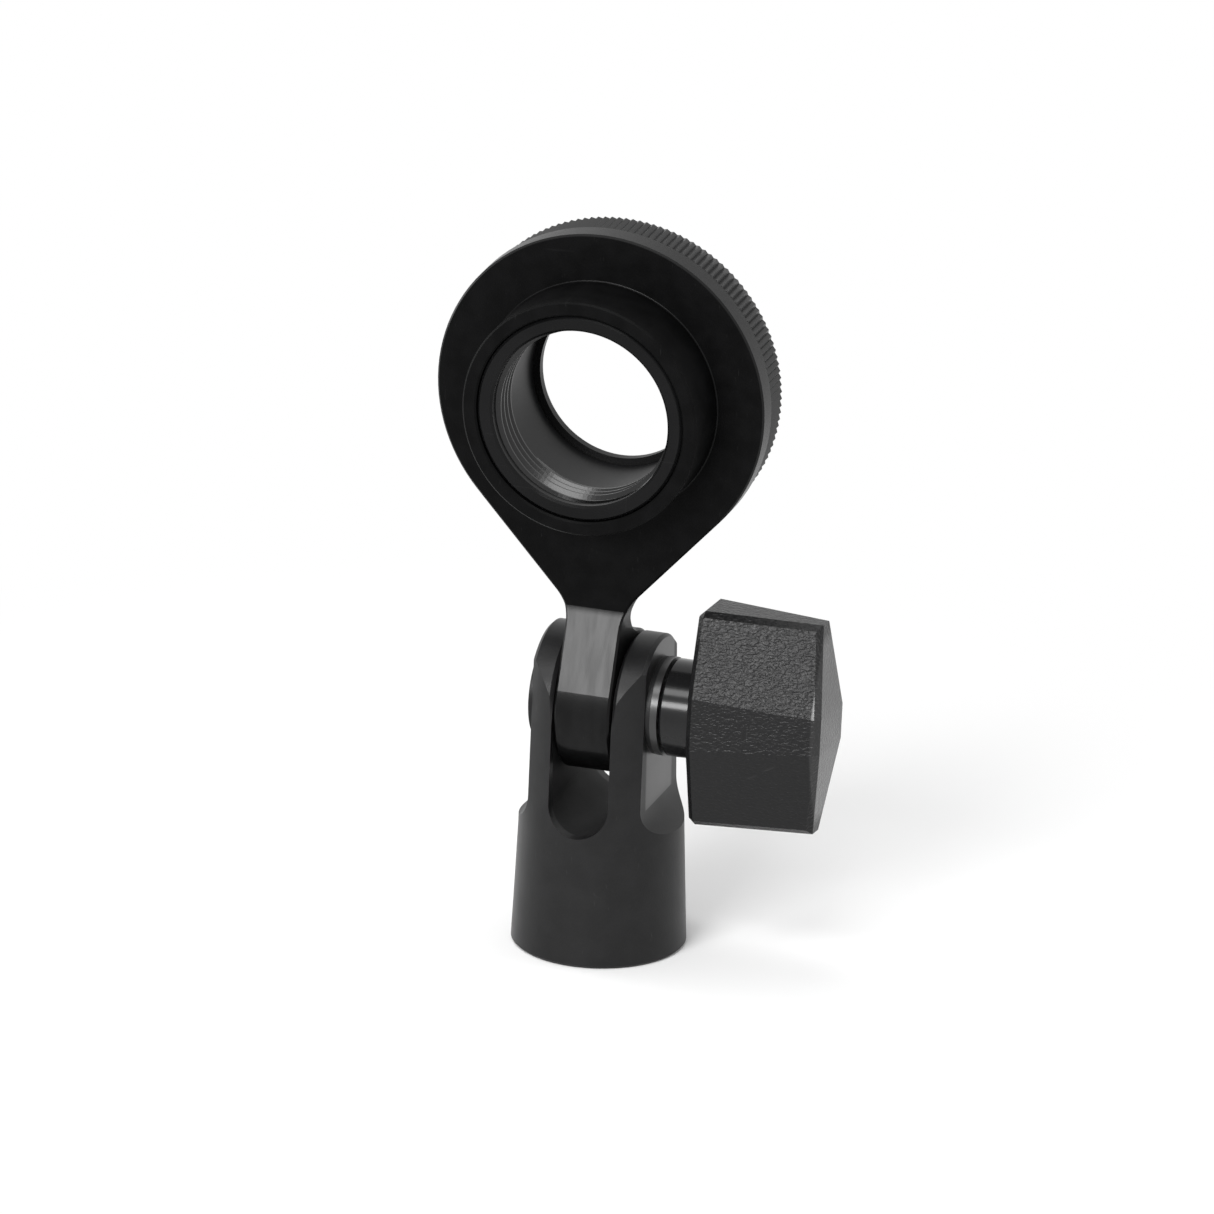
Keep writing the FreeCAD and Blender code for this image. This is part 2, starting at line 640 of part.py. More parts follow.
def make_knob():
    """Moulded eight-sided knob that tapers outwards to a ridge, on a round hub."""
    body = new_body("knob", z="pivot_height")
    body.setExpression("Placement.Rotation.Axis.x", "1")
    body.setExpression("Placement.Rotation.Axis.z", "0")
    body.setExpression("Placement.Rotation.Angle", bind("-knob_turn_deg"))
    inner = knob_section(body, "inner_outline", KNOB_START, "knob_inner_height", "knob_inner_waist",
                         "knob_inner_tip", "knob_inner_depth")
    # the outer outline's sides run parallel to the inner one's, so that every side is flat
    lean = "(knob_inner_depth - knob_inner_tip) / (knob_inner_height - knob_inner_waist)"
    outer_depth = "knob_outer_tip + (knob_outer_height - knob_outer_waist) * " + lean
    outer = knob_section(body, "outer_outline", KNOB_END + " + knob_ridge", "knob_outer_height",
                         "knob_outer_waist", "knob_outer_tip", outer_depth)
    loft = body.newObject("PartDesign::AdditiveLoft", "grip_form")
    loft.Profile = inner
    loft.Sections = [outer]
    loft.Ruled = True
    settle(body, loft)
    for sign, name in (("", "upper_slope"), ("-", "lower_slope")):
        slope = new_sketch(body, name + "_outline", "XZ_Plane")
        edge = sign + "(knob_outer_height + 1)"
        draw_outline(slope, [
            (KNOB_END + " - knob_ridge / (knob_outer_height - knob_outer_waist)", edge),
            (KNOB_END + " + knob_ridge", sign + "knob_outer_waist"),
            (KNOB_END + " + knob_ridge + 2", sign + "knob_outer_waist"),
            (KNOB_END + " + knob_ridge + 2", edge),
        ])
        pocket(body, name, slope, "4 * knob_inner_depth", midplane=True)
    soften(body, "grip_bevels", "Chamfer", "knob_edge_bevel", is_grip_edge)
    hub = new_sketch(body, "hub_outline", "YZ_Plane", HUB_START)
    draw_circle(hub, "0", "0", "hub_radius")
    pad(body, "hub", hub, "hub_length + 0.5 * stud_head_depth")
    start = number(HUB_START)
    soften(body, "hub_edge", "Chamfer", "hub_bevel",
           lambda edge, middle: abs(middle.x - start) < 1e-4)
    bore = new_sketch(body, "stud_seat_section", "XZ_Plane")
    head = "(" + KNOB_START + " + stud_head_depth)"
    draw_outline(bore, [
        (HUB_START + " - 1", "0"),
        (head + " + stud_head_length", "0"),
        (head + " + stud_head_length", "stud_head_radius"),
        (head, "stud_head_radius"),
        (head, "stud_radius"),
        (HUB_START + " - 1", "stud_radius"),
    ])
    before = body.Shape.Volume
    groove = body.newObject("PartDesign::Groove", "stud_seat")
    groove.Profile = bore
    groove.ReferenceAxis = (bore, ["H_Axis"])
    groove.Angle = 360
    settle(body, groove, before)
    return body


def is_grip_edge(edge, middle):
    """Edges of the knob's two ends and of its top and bottom."""
    inner_end = abs(middle.x - number(KNOB_START)) < 1e-4
    outer_end = middle.x > number(KNOB_END) - 1e-4
    tall = abs(middle.z) > number("knob_inner_waist") + 1
    lengthwise = abs(edge.tangentAt(edge.FirstParameter).x) > 0.9
    ridge_line = abs(middle.y) < 1e-3 and outer_end
    if ridge_line:
        return abs(middle.z) > number("knob_outer_height") - 0.5
    return inner_end or outer_end or (lengthwise and tall)


parts = [
    make_swivel_base(),
    make_stand_thread_insert(),
    make_clamp_nut(),
    make_ring_washer("left_friction_washer", "stud_radius + 3 * stud_clearance", LINER_RADIUS,
                     "-slot_half_width", "liner_thickness"),
    make_ring_washer("right_friction_washer", "stud_radius + 3 * stud_clearance", LINER_RADIUS,
                     "slot_half_width - liner_thickness", "liner_thickness"),
    make_holder_head(),
    make_threaded_ring(),
    make_retaining_ring(),
    make_slide_washer(),
    make_ring_washer("pressure_washer", "stud_radius + 3 * stud_clearance", "washer_radius",
                     SEAT_FACE + " + washer_gap", "washer_thickness"),
    make_clamp_stud(),
    make_knob(),
]

doc.recompute()
for item in doc.Objects:
    if "Invalid" in item.State or "Error" in item.State:
        raise RuntimeError("%s failed: %s" % (item.Name, item.State))
for body in parts:
    if body.Shape.isNull() or not body.Shape.isValid() or len(body.Shape.Solids) != 1:
        raise RuntimeError("%s is not one valid solid" % body.Label)
for body in parts:
    body.Shape.exportStep("parts/%s.step" % body.Label)
    print("%-24s %9.1f mm3" % (body.Label, body.Shape.Volume))
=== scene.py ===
"""Finishes, thread turns, floor, lamps and camera for the microphone stand mount."""

import logging
import math
from dataclasses import dataclass
from enum import Enum

import bmesh
import bpy
from mathutils import Matrix, Vector


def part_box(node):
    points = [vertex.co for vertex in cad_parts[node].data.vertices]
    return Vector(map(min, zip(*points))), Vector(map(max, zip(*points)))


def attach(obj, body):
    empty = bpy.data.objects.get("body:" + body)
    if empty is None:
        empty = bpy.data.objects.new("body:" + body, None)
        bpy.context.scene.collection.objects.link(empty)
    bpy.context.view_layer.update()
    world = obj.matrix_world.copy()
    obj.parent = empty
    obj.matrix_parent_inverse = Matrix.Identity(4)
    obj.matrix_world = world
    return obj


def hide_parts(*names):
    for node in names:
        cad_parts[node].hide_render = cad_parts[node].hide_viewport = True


log = logging.getLogger("mount")
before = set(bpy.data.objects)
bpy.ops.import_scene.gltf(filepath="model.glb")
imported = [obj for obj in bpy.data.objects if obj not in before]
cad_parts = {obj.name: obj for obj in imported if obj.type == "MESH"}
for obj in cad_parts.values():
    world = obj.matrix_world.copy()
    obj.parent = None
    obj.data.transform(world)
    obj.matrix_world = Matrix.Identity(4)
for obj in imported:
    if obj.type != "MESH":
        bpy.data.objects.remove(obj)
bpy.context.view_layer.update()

IMAGE_PIXELS = 1214
SENSOR_WIDTH_MM = 36.0
MM = 0.001
INCH = 25.4 * MM
WELD_REACH = 1e-6


class Grain(Enum):
    """Fine relief that a finish carries."""

    CAST = "cast"
    LEATHER = "leather"
    TURNED = "turned"
    SMOOTH = "smooth"


class Axis(Enum):
    """Direction of a turned piece's axis, as the rotation that brings it upright."""

    X = (0.0, -math.pi / 2, 0.0)
    Y = (math.pi / 2, 0.0, 0.0)
    Z = (0.0, 0.0, 0.0)


class NodeSheet:
    """Short way to add and link the nodes of one tree."""

    MIX_VALUE_INPUTS = (0, 2, 3)
    MIX_COLOUR_INPUTS = (0, 6, 7)
    MIX_COLOUR_OUTPUT = 2

    def __init__(self, tree: bpy.types.NodeTree) -> None:
        """Keep the tree.

        Args:
            tree: Shader or geometry node tree to work in.
        """
        self.tree = tree

    def add(self, kind: str, **settings: object) -> bpy.types.Node:
        """Add a node and set its plain properties.

        Args:
            kind: Node type name.
            **settings: Property names with their values.

        Returns:
            The new node.
        """
        node = self.tree.nodes.new(kind)
        for name, value in settings.items():
            setattr(node, name, value)
        return node

    def feed(self, socket: bpy.types.NodeSocket, value: object) -> None:
        """Link another socket to this one, or set its own value.

        Args:
            socket: Input that is filled.
            value: Socket to link from, or a plain value.
        """
        if isinstance(value, bpy.types.NodeSocket):
            self.tree.links.new(value, socket)
        else:
            socket.default_value = value

    def math(self, operation: str, *values: object) -> bpy.types.NodeSocket:
        """Add a Math node.

        Args:
            operation: Name of the operation.
            *values: Sockets or numbers, one for each input.

        Returns:
            The result's socket.
        """
        node = self.add("ShaderNodeMath", operation=operation)
        for socket, value in zip(node.inputs, values):
            self.feed(socket, value)
        return node.outputs[0]

    def radius(self, first: bpy.types.NodeSocket, second: bpy.types.NodeSocket) -> bpy.types.NodeSocket:
        """Find the distance from an axis.

        Args:
            first: Distance along one direction across the axis.
            second: Distance along the other direction.

        Returns:
            The result's socket.
        """
        squares = [self.math("MULTIPLY", side, side) for side in (first, second)]
        return self.math("SQRT", self.math("ADD", *squares))

    def remap(self, value: bpy.types.NodeSocket, low: object, high: object,
              start: object = 0.0, end: object = 1.0) -> bpy.types.NodeSocket:
        """Ease a value from one range to another.

        Args:
            value: Socket that is read.
            low: Value that gives the start.
            high: Value that gives the end.
            start: Result at or below low.
            end: Result at or above high.

        Returns:
            The result's socket.
        """
        node = self.add("ShaderNodeMapRange", interpolation_type="SMOOTHSTEP")
        for name, number in (("Value", value), ("From Min", low), ("From Max", high),
                             ("To Min", start), ("To Max", end)):
            self.feed(node.inputs[name], number)
        return node.outputs["Result"]

    def mix_value(self, share: object, first: object, second: object) -> bpy.types.NodeSocket:
        """Mix two numbers.

        Args:
            share: Nought for the first number, one for the second.
            first: Number or socket.
            second: Number or socket.

        Returns:
            The result's socket.
        """
        node = self.add("ShaderNodeMix", data_type="FLOAT")
        for index, value in zip(self.MIX_VALUE_INPUTS, (share, first, second)):
            self.feed(node.inputs[index], value)
        return node.outputs[0]

    def mix_colour(self, share: object, first: object, second: object) -> bpy.types.NodeSocket:
        """Mix two colours.

        Args:
            share: Nought for the first colour, one for the second.
            first: Colour or socket.
            second: Colour or socket.

        Returns:
            The result's socket.
        """
        node = self.add("ShaderNodeMix", data_type="RGBA")
        for index, value in zip(self.MIX_COLOUR_INPUTS, (share, first, second)):
            self.feed(node.inputs[index], value)
        return node.outputs[self.MIX_COLOUR_OUTPUT]

    def noise(self, vector: bpy.types.NodeSocket, scale: object, detail: float = 3.0) -> bpy.types.Node:
        """Add a noise texture.

        Args:
            vector: Place that it is read at.
            scale: Number or socket.
            detail: Layers of finer noise.

        Returns:
            The texture's node.
        """
        node = self.add("ShaderNodeTexNoise")
        self.feed(node.inputs["Vector"], vector)
        self.feed(node.inputs["Scale"], scale)
        node.inputs["Detail"].default_value = detail
        return node


def new_group(name: str, inputs: dict[str, float | None],
              outputs: list[str]) -> tuple[NodeSheet, dict, bpy.types.Node]:
    """Start a shader node group.

    Args:
        name: Group's name.
        inputs: Input names with their start values, None for a vector.
        outputs: Names of the outputs, all numbers.

    Returns:
        The sheet of the group's tree, its input sockets by name and its output node.
    """
    tree = bpy.data.node_groups.new(name, "ShaderNodeTree")
    for label, value in inputs.items():
        kind = "NodeSocketVector" if value is None else "NodeSocketFloat"
        socket = tree.interface.new_socket(label, in_out="INPUT", socket_type=kind)
        if value is not None:
            socket.default_value = value
    for label in outputs:
        tree.interface.new_socket(label, in_out="OUTPUT", socket_type="NodeSocketFloat")
    sheet = NodeSheet(tree)
    entry = sheet.add("NodeGroupInput")
    return sheet, {label: entry.outputs[label] for label in inputs}, sheet.add("NodeGroupOutput")


@dataclass(frozen=True)
class Effects:
    """The shader node groups that the finishes share."""

    cast: bpy.types.NodeTree
    leather: bpy.types.NodeTree
    turned: bpy.types.NodeTree
    handling: bpy.types.NodeTree


def make_cast_grain() -> bpy.types.NodeTree:
    """Make the fine pebbled skin of a coated casting, with slow changes of tone.

    Returns:
        The group's tree.
    """
    low, high, tone_scale = 0.3, 0.7, 0.06
    sheet, given, result = new_group("cast_grain", {"Vector": None, "Scale": 2500.0}, ["Height", "Tone"])
    fine = sheet.noise(given["Vector"], given["Scale"], detail=2.0)
    coarse = sheet.noise(given["Vector"], sheet.math("MULTIPLY", given["Scale"], tone_scale), detail=4.0)
    sheet.feed(result.inputs["Height"], sheet.remap(fine.outputs[0], low, high))
    sheet.feed(result.inputs["Tone"], sheet.remap(coarse.outputs[0], low, high))
    return sheet.tree


def make_leather_grain() -> bpy.types.NodeTree:
    """Make the wrinkled grain of moulded plastic: short worm-like folds with fine pores.

    Returns:
        The group's tree.
    """
    low, high, distortion = 0.2, 0.8, 0.5
    pore_scale, pore_share = 2.6, 0.15
    sheet, given, result = new_group("leather_grain", {"Vector": None, "Scale": 1200.0}, ["Height", "Tone"])
    folds = sheet.noise(given["Vector"], given["Scale"], detail=1.0)
    folds.inputs["Distortion"].default_value = distortion
    worm = sheet.remap(folds.outputs[0], low, high)
    fine = sheet.noise(given["Vector"], sheet.math("MULTIPLY", given["Scale"], pore_scale), detail=1.0)
    height = sheet.math("MULTIPLY_ADD", fine.outputs[0], pore_share,
                        sheet.math("MULTIPLY", worm, 1.0 - pore_share))
    sheet.feed(result.inputs["Height"], height)
    sheet.feed(result.inputs["Tone"], worm)
    return sheet.tree


def make_turned_lines() -> bpy.types.NodeTree:
    """Make fine tool lines round an upright axis, on faces and on walls alike.

    Returns:
        The group's tree.
    """
    low, high, tone_scale = 0.3, 0.7, 0.02
    sheet, given, result = new_group("turned_lines", {"Vector": None, "Scale": 9000.0}, ["Height", "Tone"])
    parts = sheet.add("ShaderNodeSeparateXYZ")
    sheet.feed(parts.inputs[0], given["Vector"])
    radius = sheet.radius(parts.outputs[0], parts.outputs[1])
    line = sheet.add("ShaderNodeCombineXYZ")
    sheet.feed(line.inputs[0], radius)
    sheet.feed(line.inputs[1], parts.outputs[2])
    fine = sheet.noise(line.outputs[0], given["Scale"], detail=2.0)
    slow = sheet.noise(given["Vector"], sheet.math("MULTIPLY", given["Scale"], tone_scale), detail=3.0)
    sheet.feed(result.inputs["Height"], fine.outputs[0])
    sheet.feed(result.inputs["Tone"], sheet.remap(slow.outputs[0], low, high))
    return sheet.tree


def make_handling() -> bpy.types.NodeTree:
    """Make traces of use: soft smudges, and short fine scratches in two directions.

    Returns:
        The group's tree.
    """
    smudge_low, smudge_high = 0.35, 0.7
    scratch_low, scratch_high = 0.74, 0.8
    strokes = ((0.5, (90.0, 1.0, 9.0)), (-0.9, (1.0, 70.0, 8.0)))
    sheet, given, result = new_group("handling", {"Vector": None, "Scale": 60.0}, ["Smudge", "Scratch"])
    smudge = sheet.noise(given["Vector"], given["Scale"], detail=4.0)
    sheet.feed(result.inputs["Smudge"], sheet.remap(smudge.outputs[0], smudge_low, smudge_high))
    marks = None
    for turn, stretch in strokes:
        mapping = sheet.add("ShaderNodeMapping")
        sheet.feed(mapping.inputs["Vector"], given["Vector"])
        mapping.inputs["Rotation"].default_value = (0.0, turn, turn)
        mapping.inputs["Scale"].default_value = stretch
        lines = sheet.noise(mapping.outputs[0], given["Scale"], detail=1.0)
        one = sheet.remap(lines.outputs[0], scratch_low, scratch_high)
        marks = one if marks is None else sheet.math("MAXIMUM", marks, one)
    sheet.feed(result.inputs["Scratch"], marks)
    return sheet.tree


@dataclass(frozen=True)
class Finish:
    """One finish: colour, gloss, relief and traces of use."""

    name: str
    colour: tuple[float, float, float]
    roughness: float
    grain: Grain = Grain.CAST
    grain_scale: float = 2500.0
    grain_depth: float = 0.02 * MM
    stretch: tuple[float, float, float] = (1.0, 1.0, 1.0)
    axis: Axis = Axis.Z
    centre: tuple[float, float, float] = (0.0, 0.0, 0.0)
    specular: float = 0.3
    metallic: float = 0.0
    coat: float = 0.0
    coat_roughness: float = 0.3
    tone_shift: float = 0.25
    smudge_shift: float = 0.08
    scratch_colour: tuple[float, float, float] = (0.12, 0.12, 0.12)
    scratch_share: float = 0.06

    def place(self, sheet: NodeSheet) -> bpy.types.NodeSocket:
        """Find the object coordinates from the finish's centre, with its axis upright.

        Args:
            sheet: Sheet of the material's tree.

        Returns:
            The coordinate socket.
        """
        coordinates = sheet.add("ShaderNodeTexCoord")
        centred = sheet.add("ShaderNodeVectorMath", operation="SUBTRACT")
        sheet.feed(centred.inputs[0], coordinates.outputs["Object"])
        centred.inputs[1].default_value = self.centre
        upright = sheet.add("ShaderNodeMapping")
        sheet.feed(upright.inputs["Vector"], centred.outputs[0])
        upright.inputs["Rotation"].default_value = self.axis.value
        upright.inputs["Scale"].default_value = self.stretch
        return upright.outputs[0]

    def build(self, effects: Effects) -> bpy.types.Material:
        """Make the material.

        Args:
            effects: The shared node groups.

        Returns:
            The new material.
        """
        material = bpy.data.materials.new(self.name)
        material.use_nodes = True
        sheet = NodeSheet(material.node_tree)
        shader = material.node_tree.nodes["Principled BSDF"]
        shader.inputs["Specular IOR Level"].default_value = self.specular
        shader.inputs["Metallic"].default_value = self.metallic
        shader.inputs["Coat Roughness"].default_value = self.coat_roughness
        place = self.place(sheet)
        relief = {Grain.LEATHER: effects.leather, Grain.TURNED: effects.turned}.get(self.grain, effects.cast)
        grain = sheet.add("ShaderNodeGroup", node_tree=relief)
        sheet.feed(grain.inputs["Vector"], place)
        grain.inputs["Scale"].default_value = self.grain_scale
        wear = sheet.add("ShaderNodeGroup", node_tree=effects.handling)
        sheet.feed(wear.inputs["Vector"], place)
        shade = sheet.mix_value(grain.outputs["Tone"], 1.0 - self.tone_shift, 1.0 + self.tone_shift)
        tinted = sheet.add("ShaderNodeVectorMath", operation="SCALE")
        tinted.inputs[0].default_value = self.colour
        sheet.feed(tinted.inputs["Scale"], shade)
        share = sheet.math("MULTIPLY", wear.outputs["Scratch"], self.scratch_share)
        colour = sheet.mix_colour(share, tinted.outputs[0], (*self.scratch_colour, 1.0))
        sheet.feed(shader.inputs["Base Color"], colour)
        rough = sheet.math("MULTIPLY_ADD", wear.outputs["Smudge"], self.smudge_shift, self.roughness)
        sheet.feed(shader.inputs["Roughness"], self.dress_roughness(sheet, rough))
        bump = sheet.add("ShaderNodeBump")
        bump.inputs["Distance"].default_value = self.grain_depth
        sheet.feed(bump.inputs["Height"], self.dress_height(sheet, grain.outputs["Height"]))
        sheet.feed(shader.inputs["Normal"], bump.outputs[0])
        self.dress_coat(sheet, shader)
        return material

    def dress_coat(self, sheet: NodeSheet, shader: bpy.types.Node) -> None:
        """One clear coat all over; a finish with zones changes it."""
        shader.inputs["Coat Weight"].default_value = self.coat

    def position(self, sheet: NodeSheet) -> tuple[bpy.types.NodeSocket, ...]:
        """Split the object coordinates.

        Args:
            sheet: Sheet of the material's tree.

        Returns:
            The sockets for X, Y and Z.
        """
        coordinates = sheet.add("ShaderNodeTexCoord")
        parts = sheet.add("ShaderNodeSeparateXYZ")
        sheet.feed(parts.inputs[0], coordinates.outputs["Object"])
        return tuple(parts.outputs)

    def dress_roughness(self, sheet: NodeSheet, rough: bpy.types.NodeSocket) -> bpy.types.NodeSocket:
        """Roughness as it is; a finish with zones changes it."""
        return rough

    def dress_height(self, sheet: NodeSheet, height: bpy.types.NodeSocket) -> bpy.types.NodeSocket:
        """Relief as it is; a finish with zones changes it."""
        return height


@dataclass(frozen=True)
class KnobFinish(Finish):
    """Grained grip with a polished hub, told apart by the place along the clamp axis."""

    hub_end: float = 0.0
    cap_start: float = 0.0
    hub_roughness: float = 0.16
    cap_coat: float = 0.5
    blend: float = 0.15 * MM

    def grip_share(self, sheet: NodeSheet) -> bpy.types.NodeSocket:
        """Nought on the hub and one on the grip."""
        return sheet.remap(self.position(sheet)[0], self.hub_end - self.blend, self.hub_end + self.blend)

    def dress_coat(self, sheet: NodeSheet, shader: bpy.types.Node) -> None:
        """Make the hub and the end face glossier.

        Args:
            sheet: Sheet of the material's tree.
            shader: Its shader node.
        """
        along = self.position(sheet)[0]
        cap = sheet.remap(along, self.cap_start - self.blend, self.cap_start + self.blend, 0.0, self.cap_coat)
        hub = sheet.remap(along, self.hub_end - self.blend, self.hub_end, self.coat, 0.0)
        sheet.feed(shader.inputs["Coat Weight"], sheet.math("ADD", cap, hub))

    def dress_roughness(self, sheet: NodeSheet, rough: bpy.types.NodeSocket) -> bpy.types.NodeSocket:
        """Polished hub beside the rougher grip."""
        return sheet.mix_value(self.grip_share(sheet), self.hub_roughness, rough)

    def dress_height(self, sheet: NodeSheet, height: bpy.types.NodeSocket) -> bpy.types.NodeSocket:
        """No grain on the hub."""
        return sheet.math("MULTIPLY", height, self.grip_share(sheet))


@dataclass(frozen=True)
class BaseFinish(Finish):
    """Satin coat that is duller between the ears, where the slot was milled."""

    slot_half_width: float = 4.47 * MM
    slot_bottom: float = 17.0 * MM
    slot_roughness: float = 0.28
    slot_reach: float = 10.4 * MM
    slot_blend: float = 0.5 * MM
    flat_side: float = 8.4 * MM
    flat_margin: float = 0.05 * MM
    flat_coat: float = 0.5

    def dress_roughness(self, sheet: NodeSheet, rough: bpy.types.NodeSocket) -> bpy.types.NodeSocket:
        """Make the slot between the ears rougher.

        Args:
            sheet: Sheet of the material's tree.
            rough: Roughness without zones.

        Returns:
            The result's socket.
        """
        across, depth, height = self.position(sheet)
        narrow = sheet.math("LESS_THAN", sheet.math("ABSOLUTE", across), self.slot_half_width)
        above = sheet.math("GREATER_THAN", height, self.slot_bottom)
        within = self.within(sheet, across, depth, self.slot_roughness)
        inside = sheet.math("MULTIPLY", sheet.math("MULTIPLY", narrow, above), within)
        return sheet.math("ADD", inside, rough)

    def within(self, sheet: NodeSheet, across: bpy.types.NodeSocket, depth: bpy.types.NodeSocket,
               full: float) -> bpy.types.NodeSocket:
        """Limit a value to the room inside the cup's turned outside.

        Args:
            sheet: Sheet of the material's tree.
            across: Place along X.
            depth: Place along Y.
            full: Value well inside.

        Returns:
            Socket that fades from the full value to nought at the outside.
        """
        radius = sheet.radius(across, depth)
        return sheet.remap(radius, self.slot_reach - self.slot_blend, self.slot_reach, full, 0.0)

    def dress_coat(self, sheet: NodeSheet, shader: bpy.types.Node) -> None:
        """Put a smoother coat on the two machined flats outside the ears.

        Args:
            sheet: Sheet of the material's tree.
            shader: Its shader node.
        """
        across, depth, height = self.position(sheet)
        flat = sheet.math("COMPARE", sheet.math("ABSOLUTE", across), self.flat_side, self.flat_margin)
        above = sheet.math("GREATER_THAN", height, self.slot_bottom)
        share = sheet.math("MULTIPLY", flat, above)
        within = self.within(sheet, across, depth, self.flat_coat)
        sheet.feed(shader.inputs["Coat Weight"], sheet.math("MULTIPLY", share, within))


@dataclass(frozen=True)
class RimFinish(Finish):
    """Finish that is smoother on a turned rim round the ring's centre."""

    ring_height: float = 0.0
    rim_radius: float = 0.0
    rim_coat: float = 0.35
    rim_blend: float = 0.1 * MM
    neck_share: float = 0.7

    def rim_share(self, sheet: NodeSheet) -> bpy.types.NodeSocket:
        """Find the coat's weight outside the rim's radius, above the neck.

        Args:
            sheet: Sheet of the material's tree.

        Returns:
            The weight's socket.
        """
        across, _, height = self.position(sheet)
        drop = sheet.math("SUBTRACT", height, self.ring_height)
        radius = sheet.radius(across, drop)
        outside = sheet.remap(radius, self.rim_radius - self.rim_blend, self.rim_radius, 0.0, self.rim_coat)
        above = sheet.math("GREATER_THAN", drop, -self.neck_share * self.rim_radius)
        return sheet.math("MULTIPLY", outside, above)

    def dress_coat(self, sheet: NodeSheet, shader: bpy.types.Node) -> None:
        """Clear coat on the rim only."""
        sheet.feed(shader.inputs["Coat Weight"], self.rim_share(sheet))


@dataclass(frozen=True)
class HeadFinish(RimFinish):
    """Matt coat that turns satin on the neck's machined ramp, the eye and the plate's rim."""

    neck_top: float = 0.0
    neck_blend: float = 1.3 * MM
    brush_scale: float = 900.0
    brush_depth: float = 0.3
    brush_height: float = 0.12
    brush_low: float = 0.3
    brush_high: float = 0.7
    faintest: float = 0.82
    strongest: float = 1.12

    def dress_coat(self, sheet: NodeSheet, shader: bpy.types.Node) -> None:
        """Put a brushed clear coat on the neck, the eye and the rim only.

        Args:
            sheet: Sheet of the material's tree.
            shader: Its shader node.
        """
        across, depth, height = self.position(sheet)
        neck = sheet.remap(height, self.neck_top - self.neck_blend, self.neck_top, self.coat, 0.0)
        stroke = sheet.add("ShaderNodeCombineXYZ")
        sheet.feed(stroke.inputs[0], across)
        sheet.feed(stroke.inputs[1], sheet.math("MULTIPLY", depth, self.brush_depth))
        sheet.feed(stroke.inputs[2], sheet.math("MULTIPLY", height, self.brush_height))
        noise = sheet.noise(stroke.outputs[0], self.brush_scale).outputs[0]
        brushed = sheet.remap(noise, self.brush_low, self.brush_high, self.faintest, self.strongest)
        satin = sheet.math("MULTIPLY", neck, brushed)
        sheet.feed(shader.inputs["Coat Weight"], sheet.math("ADD", satin, self.rim_share(sheet)))


def dress(node: str, material: bpy.types.Material) -> None:
    """Give a CAD node its material.

    Args:
        node: Name of the node.
        material: Finish that it gets.
    """
    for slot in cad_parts[node].material_slots:
        slot.material = material
    log.info("finish %s on %s", material.name, node)


